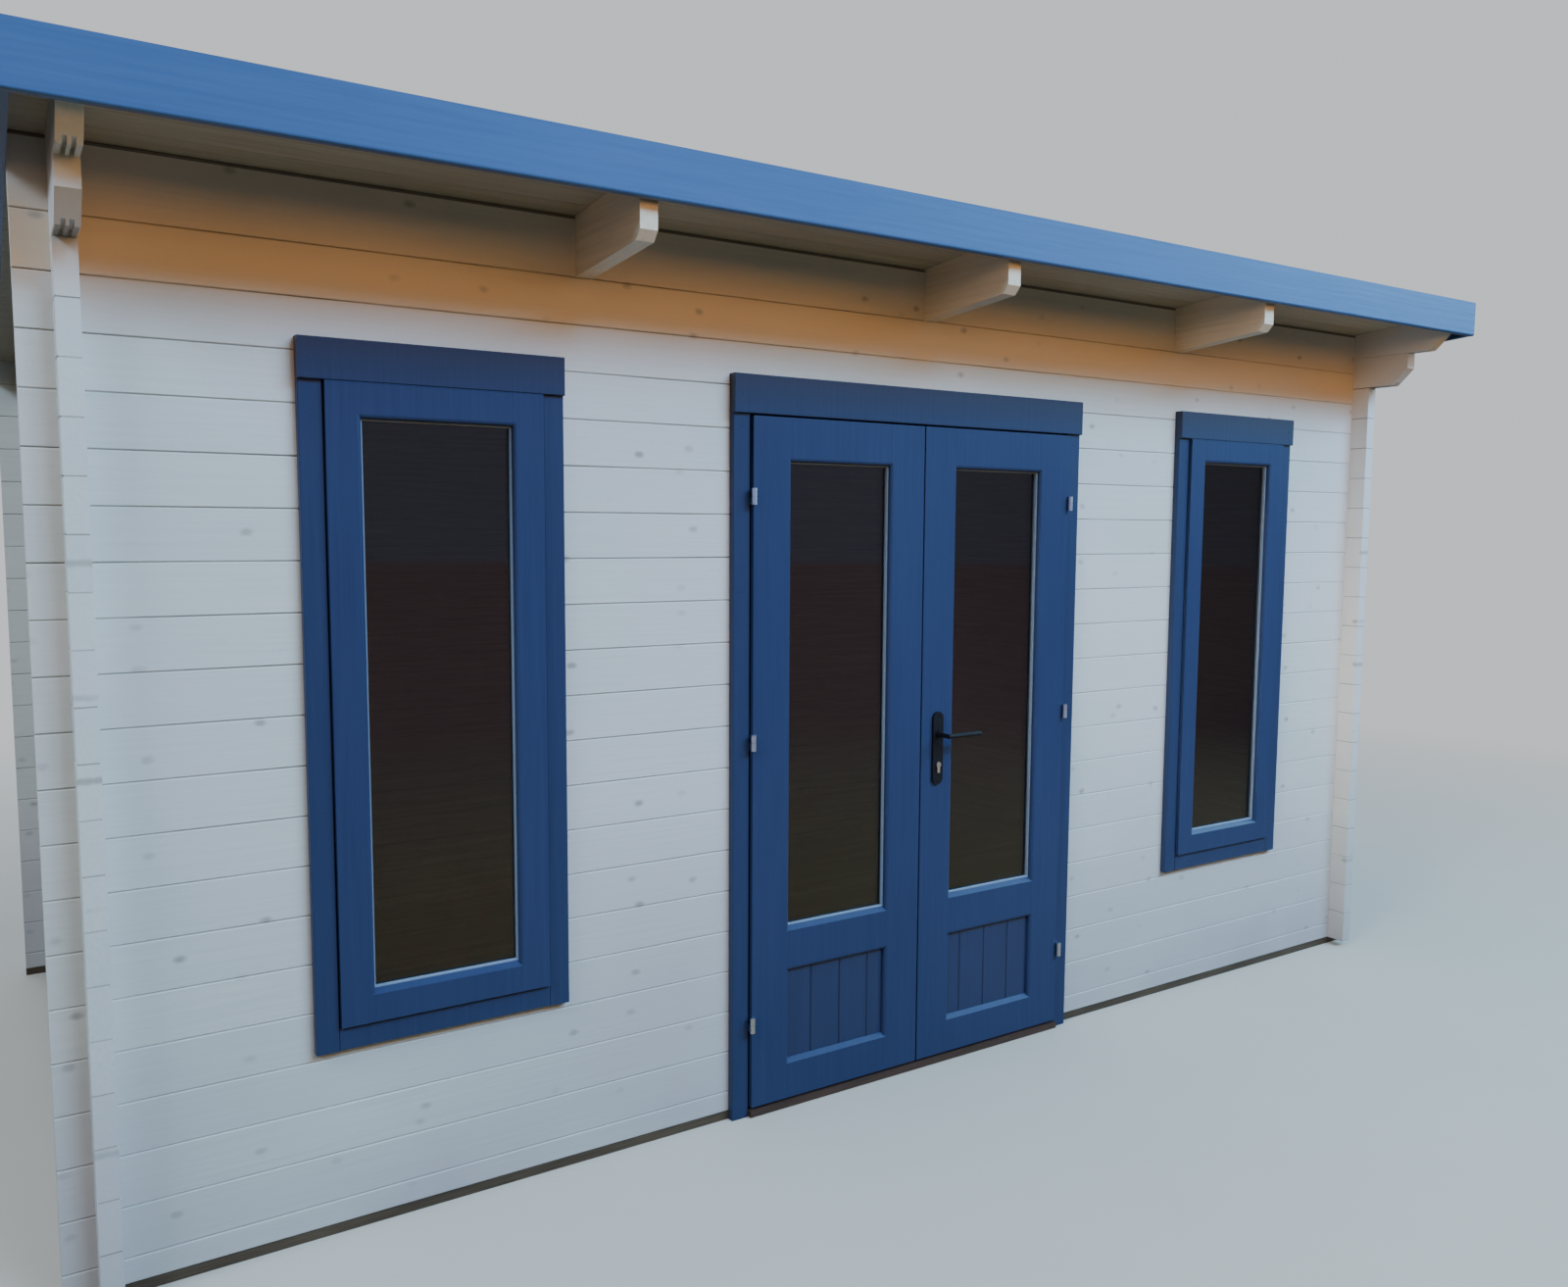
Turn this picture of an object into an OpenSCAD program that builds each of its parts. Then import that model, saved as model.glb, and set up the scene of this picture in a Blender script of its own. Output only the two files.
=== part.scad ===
// Garden office pod: a log cabin with crossed and notched wall logs, a pair of glazed doors
// and a pent roof that falls to the back.
// X runs along the front, +Y runs to the back, Z = 0 is the ground.

/* [Walls] */
// Width over the outer faces of the side walls
cabin_w = 4368; // [3600:1:5300]
// Depth over the outer faces of the front and back walls
cabin_d = 2368; // [1950:1:2900]
// Thickness of a wall log
log_t = 44; // [34:1:60]
// Height that a wall log covers
log_h = 114; // [112:1:140]
// Number of log heights from the base to the underside of the purlins
front_courses = 20; // [19:1:23]
// How far the crossed log ends stand out past the walls
log_end = 66; // [50:1:90]
// Depth of the V joint between two logs
v_depth = 3; // [2:0.5:5]
// Height of the bearers that the walls stand on
bearer_h = 23; // [18:1:40]

/* [Roof] */
// Fall of the roof to the back, in degrees
roof_pitch = 4.5; // [3:0.1:6]
// Overhang of the roof boards in front of the front wall
roof_front = 366; // [300:1:450]
// Overhang of the roof boards behind the back wall
roof_back = 90; // [80:1:140]
// Thickness of the roof boards
roof_board_t = 18; // [15:1:25]
// Width of one roof board
roof_board_w = 96; // [80:1:140]
// Thickness of the roof covering
covering_t = 4; // [2:0.5:6]
// Depth of a purlin
purlin_h = 145; // [100:1:170]
// Thickness of a purlin
purlin_t = 44; // [34:1:60]
// How far the purlins and the top side logs reach in front of the front wall
purlin_front = 350; // [280:1:360]
// How far the purlins stand to the right of the quarter points of the width
purlin_shift = 35; // [0:1:60]
// How far the second side log reaches in front of the front wall
corbel_front = 214; // [150:1:260]
// Slant cut off the lower corner of each stepped side log
corbel_cut = 58; // [30:1:70]
// Slant cut off the lower corner of a purlin's end
purlin_cut = 20; // [15:1:60]
// Height of the fascia boards
fascia_h = 118; // [100:1:150]
// Thickness of the fascia boards
fascia_t = 18; // [15:1:25]
// How far the fascia stands above the roof covering
fascia_up = 30; // [10:1:40]

/* [Floor] */
// Height of the floor joists
joist_h = 28; // [20:1:50]
// Number of floor joists
joist_count = 6; // [4:1:8]
// Thickness of the floor boards
floor_t = 18; // [15:1:25]

/* [Windows and doors] */
// Distance of each window's centre from the middle of the front
window_x = 1430; // [1300:1:1500]
// Visible width of the window panes
pane_w = 350; // [280:1:420]
// Visible height of the window panes
pane_h = 1300; // [1100:1:1330]
// Height of the bottom edge of the window panes
window_pane_z = 576; // [560:1:650]
// Rounding of the wood at the sides and top of every pane and panel
pane_round = 10; // [4:1:12]
// Slope of the wood below every pane and panel
pane_slope = 12; // [4:1:14]
// How deep the glass lies behind the face of its sash or leaf
glass_set = 22; // [16:1:24]
// Width of a sash's stiles and rails
sash_rail = 77; // [60:1:85]
// Width of the boards of the trim, as far as they show
trim_show = 52; // [45:1:75]
// Thickness of the trim boards
trim_t = 20; // [15:1:25]
// How far the head trims reach up over the logs
trim_lap = 29; // [20:1:40]
// How far the window trims reach down over the logs
sill_lap = 25; // [15:1:40]
// Rounding of the front edges of boards
ease = 2; // [1:0.5:4]
// Width of one door leaf
leaf_w = 584.5; // [560:0.5:600]
// Height of the bottom edge of the door leaves
leaf_z = 28; // [28:1:35]
// Height of the door leaves
leaf_h = 1911; // [1880:1:1915]
// Visible width of the door panes
door_pane_w = 340; // [280:1:400]
// Visible height of the door panes
door_pane_h = 1293; // [1100:1:1310]
// Height of the bottom edge of the door panes
door_pane_z = 527; // [500:1:540]
// Bottom edge of the boarded panel of a leaf
panel_z = 141; // [130:1:150]
// Height of the boarded panel of a leaf
panel_h = 258; // [220:1:270]
// Width of one board of the panel
board_joint = 100; // [80:1:110]
// Thickness of the leaves and sashes
leaf_t = 44; // [40:1:50]
// How far the leaves and sashes stand out in front of the logs
leaf_out = 30; // [25:1:35]
// Gap round a door leaf
door_gap = 5; // [5:0.5:8]
// Gap round a window sash
sash_gap = 3; // [2:0.5:5]
// Thickness of the jambs of the window and door frames
jamb_t = 28; // [22:1:32]
// Width of the stop that a leaf or sash closes against
stop_w = 15; // [10:1:20]
// Thickness of one sheet of glass
glass_t = 4; // [3:0.5:5]
// Air space between the two sheets of glass
glass_air = 6; // [4:1:10]

/* [Fittings] */
// Heights of the middle of the hinges
hinge_z = [270, 1060, 1725];
// Radius of a hinge barrel
barrel_r = 7.5; // [6:0.5:7.5]
// Length of a whole hinge
hinge_len = 44; // [40:1:80]
// Radius of a hinge pin
pin_r = 4; // [3:0.5:4.5]
// Height of the lever's spindle
lever_z = 1029; // [950:1:1100]
// Length of the lever from its spindle
lever_len = 126; // [110:1:140]
// Distance of the lever and lock from the free edge of the leaf
backset = 59; // [50:1:65]
// Distance from the spindle down to the lock cylinder
lock_drop = 92; // [72:1:92]

/* [Hidden] */

$fn = 48;
over = 1;
half_w = cabin_w / 2;
slope = tan(roof_pitch);
purlin_z = bearer_h + log_h * (front_courses - 0.5);
front_top = purlin_z + purlin_h;
front_y = (roof_front - cabin_d - roof_back) / 2;
eave_play = 1;
eave_x = half_w + log_end + eave_play;
notch = log_h / 4;
groove_w = 8;
groove_h = 12;
fascia_r = 6;
arc_steps = 4;
leaf_back = leaf_t - leaf_out;
sash_w = pane_w + 2 * sash_rail;
sash_z = window_pane_z - sash_rail;
sash_top = window_pane_z + pane_h + sash_rail;
window_jamb_x = sash_w / 2 + sash_gap;
window_open_x = window_jamb_x + jamb_t;
window_open_z = sash_z - sash_gap - jamb_t;
frame_play = 2;
edge_bevel = 2.5;
meet_x = edge_bevel;
leaf_edge = meet_x + leaf_w;
door_jamb_x = leaf_edge + door_gap;
door_open_x = door_jamb_x + jamb_t + frame_play;
leaf_top = leaf_z + leaf_h;
pane_x = meet_x + leaf_w / 2;
head_h = 46;
cill_h = 27;
frames_top = max(sash_top + sash_gap + jamb_t, leaf_top + door_gap + head_h);
head_course = ceil((frames_top - bearer_h) / log_h - 0.5);
sill_course = ceil((window_open_z - bearer_h) / log_h - 0.5);
opening_top = front_joint(head_course);
trim_top = opening_top + trim_lap;
window_trim_z = window_open_z - sill_lap;
seat = 0.3;
floor_play = 5;
rebate = 12;
inner_reveal = 8;
glass_y = glass_set - leaf_out;
panel_t = 12;
panel_set = 14;
panel_y = panel_set - leaf_out;
board_shift = 15;
threshold_z = 2;
threshold_gap = 8;
threshold_out = 4;
hinge_out = 8;
hinge_x = door_jamb_x - door_gap / 2;
hinge_y = -leaf_out - hinge_out;
tongue_t = 2;
tongue_y = 22;
pin_share = 0.85;
pin_play = 0.3;
plate_w = 38;
plate_h = 220;
plate_t = 8;
plate_drop = 42;
lever_x = meet_x + backset;
spindle_r = 5;
spindle_play = 1;
lever_play = 0.5;
boss_r = 10;
boss_h = 12;
lever_reach = 50;
lever_d = 14;
lock_r = 8.5;
lock_web = 10;
lock_h = 33;
lock_out = 4;

// Height of the joint number k of the front and back walls
function front_joint(k) = bearer_h + log_h * (k + 0.5);
// Height of the joint number k of the side walls
function side_joint(k) = bearer_h + log_h * k;
// Height of the underside of the roof boards at depth y behind the front wall's face
function roof_z(y) = front_top - y * slope;
// Corners of one face of a log wall, with a V at each joint and a chamfer at both ends
function log_face(x, way, from, to, joints) = concat(
    [[x + way * v_depth, from], [x, from + v_depth]],
    [for (j = joints) if (j > from + v_depth && j < to - v_depth)
        each [[x, j - v_depth], [x + way * v_depth, j], [x, j + v_depth]]],
    [[x, to - v_depth], [x + way * v_depth, to]]);
function turned(list) = [for (i = [len(list) - 1:-1:0]) list[i]];
// Points along an arc between two angles
function arc(centre, r, from, to) =
    [for (i = [0:arc_steps]) centre + r * [cos(from + (to - from) * i / arc_steps),
                                           sin(from + (to - from) * i / arc_steps)]];

// Puts a piece that was drawn from the front wall's outer face into the part's frame
module placed() {
    translate([0, front_y, 0]) children();
}

module box(low, high) {
    translate(low) cube(high - low);
}

// Stack of logs across the wall's thickness, between two heights
module log_section(from, to, joints) {
    polygon(concat(log_face(0, 1, from, to, joints), turned(log_face(log_t, -1, from, to, joints))));
}

module along_x(from, to) {
    translate([from, 0, 0]) rotate([90, 0, 90]) linear_extrude(to - from) children();
}

module along_y(from, to) {
    translate([0, to, 0]) rotate([90, 0, 0]) linear_extrude(to - from) children();
}

// Space below the roof boards
module under_roof() {
    reach_y = roof_front + cabin_d;
    along_x(-cabin_w, cabin_w)
        polygon([
            [-reach_y, 0],
            [2 * reach_y, 0],
            [2 * reach_y, roof_z(2 * reach_y)],
            [-reach_y, roof_z(-reach_y)]]);
}

// Chamfer along the top edge of the front wall's face
module eave_chamfer() {
    deep = v_depth + over;
    along_x(-cabin_w, cabin_w)
        polygon([
            [-over, front_top - v_depth - over],
            [-over, front_top + over],
            [deep, front_top + over]]);
}

// Parts of the crossing at x that belong to the side wall's logs
module side_share(x) {
    for (k = [0:front_courses]) {
        top = k == front_courses ? 2 * log_h : log_h - notch;
        box([x, -over, side_joint(k) + notch], [x + log_t, log_t + over, side_joint(k) + top]);
    }
}

// Parts of the crossing that belong to the logs of the front or back wall, at depth y
module front_share(y) {
    for (k = [0:front_courses])
        box([-over, y, side_joint(k) - notch], [log_t + over, y + log_t, side_joint(k) + notch]);
}

module crossings_cut() {
    difference() {
        children();
        side_share(-half_w);
        side_share(half_w - log_t);
    }
}

module front_logs(x0, x1, from, to) {
    along_x(x0, x1) log_section(from, to, [for (k = [0:front_courses - 1]) front_joint(k)]);
}

module purlin_bar(x) {
    back = cabin_d + log_end;
    along_x(x - purlin_t / 2, x + purlin_t / 2)
        polygon([
            [-purlin_front, roof_z(-purlin_front)],
            [-purlin_front, roof_z(-purlin_front) - purlin_h + purlin_cut],
            [-purlin_front + purlin_cut, roof_z(-purlin_front + purlin_cut) - purlin_h],
            [back, roof_z(back) - purlin_h],
            [back, roof_z(back)]]);
}

module purlin_bars() {
    for (i = [-1:1]) purlin_bar(i * cabin_w / 4 + purlin_shift);
}

module bearers_front_back() {
    color("#4a3a2c") placed()
        for (y = [0, cabin_d - log_t])
            box([-half_w - log_end, y, 0], [half_w + log_end, y + log_t, bearer_h]);
}

module bearers_sides() {
    color("#4a3a2c") placed()
        for (x = [-half_w, half_w - log_t])
            box([x, log_t, 0], [x + log_t, cabin_d - log_t, bearer_h]);
}

module floor_joists() {
    inner_x = half_w - log_t - floor_play;
    pitch = (2 * inner_x - log_t) / (joist_count - 1);
    color("#8a6f4c") placed()
        for (i = [0:joist_count - 1])
            translate([-inner_x + i * pitch, log_t + seat, 0])
                cube([log_t, cabin_d - 2 * log_t - 2 * seat, joist_h]);
}

module floor_boards() {
    inner_x = half_w - log_t - floor_play;
    color("#b8935f") placed()
        box([-inner_x, log_t + floor_play, joist_h],
            [inner_x, cabin_d - log_t - floor_play, joist_h + floor_t]);
}

// Courses below the window head on one side of the door; side is -1 or 1
module low_logs(side) {
    outer = half_w + log_end;
    x0 = side < 0 ? -outer : door_open_x;
    x1 = side < 0 ? -door_open_x : outer;
    mid = side * window_x;
    crossings_cut()
        difference() {
            front_logs(x0, x1, bearer_h, front_joint(sill_course));
            box([mid - window_open_x, -over, window_open_z],
                [mid + window_open_x, log_t + over, front_joint(sill_course) + over]);
        }
}

module corner_logs(side) {
    outer = half_w + log_end;
    near = window_x + window_open_x;
    x0 = side < 0 ? -outer : near;
    x1 = side < 0 ? -near : outer;
    crossings_cut() front_logs(x0, x1, front_joint(sill_course), opening_top);
}

module pier_logs(side) {
    near = window_x - window_open_x;
    x0 = side < 0 ? -near : door_open_x;
    x1 = side < 0 ? -door_open_x : near;
    front_logs(x0, x1, front_joint(sill_course), opening_top);
}

module front_wall_left_low() {
    color("#c9cdd0") placed() low_logs(-1);
}

module front_wall_left_corner() {
    color("#c9cdd0") placed() corner_logs(-1);
}

module front_wall_left_pier() {
    color("#c9cdd0") placed() pier_logs(-1);
}

module front_wall_right_low() {
    color("#c9cdd0") placed() low_logs(1);
}

module front_wall_right_corner() {
    color("#c9cdd0") placed() corner_logs(1);
}

module front_wall_right_pier() {
    color("#c9cdd0") placed() pier_logs(1);
}

module front_wall_top() {
    outer = half_w + log_end;
    color("#c9cdd0") placed()
        crossings_cut()
            difference() {
                intersection() {
                    front_logs(-outer, outer, opening_top, front_top + log_h);
                    under_roof();
                }
                purlin_bars();
                eave_chamfer();
            }
}

module back_wall() {
    outer = half_w + log_end;
    color("#c9cdd0") placed()
        difference() {
            intersection() {
                translate([0, cabin_d - log_t, 0])
                    crossings_cut() front_logs(-outer, outer, bearer_h, front_top + log_h);
                under_roof();
            }
            purlin_bars();
        }
}

// Grooves along the bare underside of a log that steps out, at height z
module underside_grooves(y0, y1, z) {
    for (x = [log_t / 3, 2 * log_t / 3])
        box([x - groove_w / 2, y0, z - over], [x + groove_w / 2, y1, z + groove_h]);
}

// Side wall drawn with its outer face at x = 0, and its top logs stepped out under the roof
module side_logs() {
    back = cabin_d + log_end;
    step = side_joint(front_courses - 1);
    top = side_joint(front_courses);
    difference() {
        intersection() {
            along_y(-purlin_front, back)
                log_section(bearer_h, roof_z(-purlin_front) + log_h,
                    [for (k = [1:front_courses]) side_joint(k)]);
            along_x(-over, log_t + over)
                polygon([
                    [-log_end, 0],
                    [back, 0],
                    [back, roof_z(back)],
                    [-purlin_front, roof_z(-purlin_front)],
                    [-purlin_front, top + corbel_cut],
                    [-purlin_front + corbel_cut, top],
                    [-corbel_front, top],
                    [-corbel_front, step + corbel_cut],
                    [-corbel_front + corbel_cut, step],
                    [-log_end, step]]);
        }
        front_share(0);
        front_share(cabin_d - log_t);
        underside_grooves(-purlin_front - over, -corbel_front, top);
        underside_grooves(-corbel_front - over, -log_end, step);
    }
}

module left_side_wall() {
    color("#c9cdd0") placed() translate([-half_w, 0, 0]) side_logs();
}

module right_side_wall() {
    color("#c9cdd0") placed() mirror([1, 0, 0]) translate([-half_w, 0, 0]) side_logs();
}

module roof_purlins() {
    color("#d9d3c4") placed() purlin_bars();
}

// Slab that lies on the roof line, from the front edge to the back edge
module roof_slab(low, high, joints) {
    front = -roof_front;
    back = cabin_d + roof_back;
    polygon(concat(
        [[front, roof_z(front) + low]],
        [for (y = joints) each [
            [y - v_depth, roof_z(y - v_depth) + low],
            [y, roof_z(y) + low + v_depth],
            [y + v_depth, roof_z(y + v_depth) + low]]],
        [[back, roof_z(back) + low], [back, roof_z(back) + high], [front, roof_z(front) + high]]));
}

module roof_boards() {
    last = cabin_d + roof_back - v_depth - over;
    joints = [for (y = [-roof_front + roof_board_w:roof_board_w:last]) y];
    color("#d9d3c4") placed()
        along_x(-eave_x, eave_x) roof_slab(seat, roof_board_t, joints);
}

module roof_covering() {
    color("#5b5f63") placed()
        along_x(-eave_x, eave_x) roof_slab(roof_board_t, roof_board_t + covering_t, []);
}

// Height of the fascia's top edge at depth y
function fascia_z(y) = roof_z(y) + roof_board_t + covering_t + fascia_up;

// Board with its lower front edge rounded
module front_fascia(x0, x1) {
    back = -roof_front;
    front = back - fascia_t;
    top = fascia_z(back);
    low = top - fascia_h;
    along_x(x0, x1)
        polygon(concat(
            arc([front + fascia_r, low + fascia_r], fascia_r, 180, 270),
            [[back, low], [back, top], [front, top]]));
}

module front_fascia_left() {
    color("#5f86b3") placed() front_fascia(-eave_x - fascia_t, 0);
}

module front_fascia_right() {
    color("#5f86b3") placed() front_fascia(0, eave_x + fascia_t);
}

module side_fascia(x) {
    front = -roof_front;
    back = cabin_d + roof_back;
    along_x(x, x + fascia_t)
        polygon([
            [front, fascia_z(front)],
            [front, fascia_z(front) - fascia_h],
            [back, fascia_z(back) - fascia_h],
            [back, fascia_z(back)]]);
}

module left_fascia() {
    color("#5f86b3") placed() side_fascia(-eave_x - fascia_t);
}

module right_fascia() {
    color("#5f86b3") placed() side_fascia(eave_x);
}

module back_fascia() {
    back = cabin_d + roof_back;
    low = fascia_z(back) - fascia_h;
    high = fascia_z(back) - fascia_up;
    color("#5f86b3") placed()
        box([-eave_x - fascia_t, back, low], [eave_x + fascia_t, back + fascia_t, high]);
}

// Rectangular ring between two depths; the opening is given by its low and high corners in X and Z
module ring(y0, y1, outer_low, outer_high, inner_low, inner_high) {
    difference() {
        box([outer_low.x, y0, outer_low.y], [outer_high.x, y1, outer_high.y]);
        box([inner_low.x, y0 - over, inner_low.y], [inner_high.x, y1 + over, inner_high.y]);
    }
}

// Section of a board that lies flat on the wall, with its two front edges eased
module board_section(low, high, thick) {
    polygon([[low, 0], [low, ease - thick], [low + ease, -thick],
        [high - ease, -thick], [high, ease - thick], [high, 0]]);
}

module upright_board(x0, x1, z0, z1, thick) {
    translate([0, 0, z0]) linear_extrude(z1 - z0) board_section(x0, x1, thick);
}

module level_board(x0, x1, z0, z1, thick) {
    along_x(x0, x1) mirror([1, -1]) board_section(z0, z1, thick);
}

module window_frame() {
    outer_x = window_open_x - frame_play;
    outer_low = [-outer_x, window_open_z];
    outer_high = [outer_x, sash_top + sash_gap + jamb_t];
    stop_x = sash_w / 2 - stop_w;
    stop_y = leaf_back + seat;
    ring(0, stop_y, outer_low, outer_high,
        [-window_jamb_x, sash_z - sash_gap], [window_jamb_x, sash_top + sash_gap]);
    ring(stop_y, log_t, outer_low, outer_high,
        [-stop_x, sash_z + stop_w], [stop_x, sash_top - stop_w]);
}

// Upright boards under a thicker head board that lies flush with the sashes and leaves
module trim_boards(jamb_x, low, head_z) {
    outer_x = jamb_x + trim_show;
    level_board(-outer_x, outer_x, head_z, trim_top, leaf_out);
    upright_board(-outer_x, -jamb_x, low, head_z - seat, trim_t);
    upright_board(jamb_x, outer_x, low, head_z - seat, trim_t);
}

// Boards inside the room that cover the joint between a frame and the logs
module inner_trim_boards(side_x, low, head_z) {
    outer_x = side_x + trim_show;
    translate([0, log_t, 0]) mirror([0, 1, 0]) {
        level_board(-outer_x, outer_x, head_z, trim_top, trim_t);
        upright_board(-outer_x, -side_x, low, head_z - seat, trim_t);
        upright_board(side_x, outer_x, low, head_z - seat, trim_t);
    }
}

module window_trim() {
    low_x = window_jamb_x - seat;
    inner_x = sash_w / 2 - stop_w + inner_reveal;
    trim_boards(window_jamb_x, window_trim_z, sash_top + sash_gap);
    level_board(-low_x, low_x, window_trim_z, sash_z - sash_gap, trim_t);
    inner_trim_boards(inner_x, window_trim_z, sash_top - stop_w + inner_reveal);
    translate([0, log_t, 0]) mirror([0, 1, 0])
        level_board(seat - inner_x, inner_x - seat,
            window_trim_z, sash_z + stop_w - inner_reveal, trim_t);
}

// Opening through a sash or leaf, rounded in front at its sides and top and sloped at its bottom
module moulded_opening(low, high) {
    front = -leaf_out;
    back = leaf_back + over;
    r = pane_round;
    base = low.y - pane_slope - over;
    intersection() {
        translate([0, 0, base])
            linear_extrude(high.y + r + over - base)
                polygon(concat(
                    arc([high.x + r, front + r], r, 180, 270),
                    [[high.x + r, front - over], [low.x - r, front - over]],
                    arc([low.x - r, front + r], r, 270, 360),
                    [[low.x, back], [high.x, back]]));
        along_x(low.x - r - over, high.x + r + over)
            polygon(concat(
                arc([front + r, high.y + r], r, 180, 270),
                [[back, high.y], [back, low.y], [front + pane_slope, low.y],
                    [front, low.y - pane_slope], [front - over, low.y - pane_slope],
                    [front - over, high.y + r]]));
    }
}

// Opening with the groove that holds what fills it, from depth y on
module filled_opening(low, high, y, thick) {
    moulded_opening(low, high);
    box([low.x - rebate, y, low.y - rebate], [high.x + rebate, y + thick, high.y + rebate]);
}

module glazing_cut(low, high) {
    filled_opening(low, high, glass_y, 2 * glass_t + glass_air);
}

// Seams between the stiles and the rails, where these meet at the sides of the panes
module stile_seams(low, high) {
    for (x = [low.x - seat, high.x])
        box([x, -leaf_out - over, 0], [x + seat, leaf_back + over, front_top]);
}

// Two sheets of glass in their groove
module glazing(low, high) {
    edge = rebate - seat;
    for (y = [glass_y + seat, glass_y + glass_t + glass_air - seat])
        box([low.x - edge, y, low.y - edge], [high.x + edge, y + glass_t, high.y + edge]);
}

module window_sash() {
    low = [-pane_w / 2, window_pane_z];
    high = [pane_w / 2, window_pane_z + pane_h];
    difference() {
        box([-sash_w / 2, -leaf_out, sash_z], [sash_w / 2, leaf_back, sash_top]);
        glazing_cut(low, high);
        stile_seams(low, high);
    }
}

module window_glass() {
    glazing([-pane_w / 2, window_pane_z], [pane_w / 2, window_pane_z + pane_h]);
}

module left_window_frame() {
    color("#3f68a0") placed() translate([-window_x, 0, 0]) window_frame();
}

module left_window_trim() {
    color("#3f68a0") placed() translate([-window_x, 0, 0]) window_trim();
}

module left_window_sash() {
    color("#3f68a0") placed() translate([-window_x, 0, 0]) window_sash();
}

module left_window_glass() {
    color("#202226", 0.6) placed() translate([-window_x, 0, 0]) window_glass();
}

module right_window_frame() {
    color("#3f68a0") placed() translate([window_x, 0, 0]) window_frame();
}

module right_window_trim() {
    color("#3f68a0") placed() translate([window_x, 0, 0]) window_trim();
}

module right_window_sash() {
    color("#3f68a0") placed() translate([window_x, 0, 0]) window_sash();
}

module right_window_glass() {
    color("#202226", 0.6) placed() translate([window_x, 0, 0]) window_glass();
}

module door_frame() {
    outer_x = door_jamb_x + jamb_t;
    head_z = leaf_top + door_gap;
    stop_x = leaf_edge - stop_w;
    stop_y = leaf_back + door_gap;
    color("#3f68a0") placed() {
        difference() {
            box([-outer_x, 0, bearer_h], [outer_x, log_t, head_z + head_h]);
            box([-door_jamb_x, -over, bearer_h - over], [door_jamb_x, stop_y, head_z]);
            box([-stop_x, -over, bearer_h + cill_h], [stop_x, log_t + over, leaf_top - stop_w]);
        }
    }
}

module door_trim() {
    color("#3f68a0") placed() {
        trim_boards(door_jamb_x, 0, leaf_top + door_gap);
        inner_trim_boards(leaf_edge - stop_w + inner_reveal, joist_h + floor_t + seat,
            leaf_top - stop_w + inner_reveal);
    }
}

module door_threshold() {
    color("#7a4a35") placed()
        box([-door_jamb_x, -leaf_out - threshold_out, threshold_z],
            [door_jamb_x, 0, leaf_z - threshold_gap]);
}

// Left leaf with its hinge edge at -leaf_edge and its bevelled free edge at -meet_x
module leaf() {
    low = [-pane_x - door_pane_w / 2, door_pane_z];
    high = [-pane_x + door_pane_w / 2, door_pane_z + door_pane_h];
    difference() {
        translate([0, 0, leaf_z])
            linear_extrude(leaf_h)
                polygon([
                    [-leaf_edge, -leaf_out],
                    [-meet_x, -leaf_out],
                    [-meet_x - edge_bevel, leaf_back],
                    [-leaf_edge, leaf_back]]);
        glazing_cut(low, high);
        filled_opening([low.x, panel_z], [high.x, panel_z + panel_h], panel_y, panel_t);
        stile_seams(low, high);
    }
}

module leaf_glass() {
    glazing([-pane_x - door_pane_w / 2, door_pane_z],
        [-pane_x + door_pane_w / 2, door_pane_z + door_pane_h]);
}

// Upright boards with V joints in the lower part of the left leaf
module leaf_panel() {
    edge = door_pane_w / 2 + rebate - seat;
    front = panel_y + seat;
    back = panel_y + panel_t - seat;
    translate([-pane_x, 0, panel_z - rebate + seat])
        linear_extrude(panel_h + 2 * rebate - 2 * seat)
            polygon(concat(
                [[-edge, front]],
                [for (i = [-1:1], x = i * board_joint + board_shift) each [
                    [x - v_depth, front],
                    [x, front + v_depth],
                    [x + v_depth, front]]],
                [[edge, front], [edge, back], [-edge, back]]));
}

module left_door_leaf() {
    color("#3f68a0") placed() leaf();
}

module left_door_glass() {
    color("#202226", 0.6) placed() leaf_glass();
}

module left_door_panel() {
    color("#3a5f93") placed() leaf_panel();
}

module lock_shape(grow) {
    circle(r = lock_r + grow);
    translate([-lock_web / 2 - grow, -lock_h + lock_r - grow])
        square([lock_web + 2 * grow, lock_h - lock_r]);
}

// Outline of the lock cylinder, standing upright and run through the leaf
module lock_bar(y0, y1, grow) {
    translate([lever_x, 0, lever_z - lock_drop]) along_y(y0, y1) lock_shape(grow);
}

module spindle_hole() {
    translate([lever_x, 0, lever_z])
        along_y(-leaf_out - 2 * plate_t, leaf_back + 2 * plate_t) circle(r = spindle_r + spindle_play);
}

module right_door_leaf() {
    color("#3f68a0") placed()
        difference() {
            mirror([1, 0, 0]) leaf();
            spindle_hole();
            lock_bar(-leaf_out - over, leaf_back + over, seat);
        }
}

module right_door_glass() {
    color("#202226", 0.6) placed() mirror([1, 0, 0]) leaf_glass();
}

module right_door_panel() {
    color("#3a5f93") placed() mirror([1, 0, 0]) leaf_panel();
}

// Lower halves of the hinges with their pins, fixed to the left side of the frame
module hinge_posts() {
    for (z = hinge_z) {
        translate([-hinge_x, hinge_y, z - hinge_len / 2]) {
            cylinder(r = barrel_r, h = hinge_len / 2);
            cylinder(r = pin_r, h = hinge_len * pin_share);
        }
        box([-door_jamb_x, hinge_y, z - hinge_len / 2],
            [-door_jamb_x + tongue_t, hinge_y + hinge_out + tongue_y, z]);
    }
}

// Upper halves of the hinges, fixed to the edge of the left leaf
module hinge_caps() {
    for (z = hinge_z) {
        translate([-hinge_x, hinge_y, z + spindle_play])
            difference() {
                union() {
                    cylinder(r = barrel_r, h = hinge_len / 2 - spindle_play);
                    box([hinge_x - leaf_edge - tongue_t, 0, 0],
                        [hinge_x - leaf_edge, hinge_out + tongue_y, hinge_len / 2 - spindle_play]);
                }
                translate([0, 0, -spindle_play])
                    cylinder(r = pin_r + pin_play, h = hinge_len * (pin_share - 0.5) + 2 * spindle_play);
            }
    }
}

module hinge_pins() {
    color("#c8ccd0") placed() {
        hinge_posts();
        mirror([1, 0, 0]) hinge_posts();
    }
}

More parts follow.
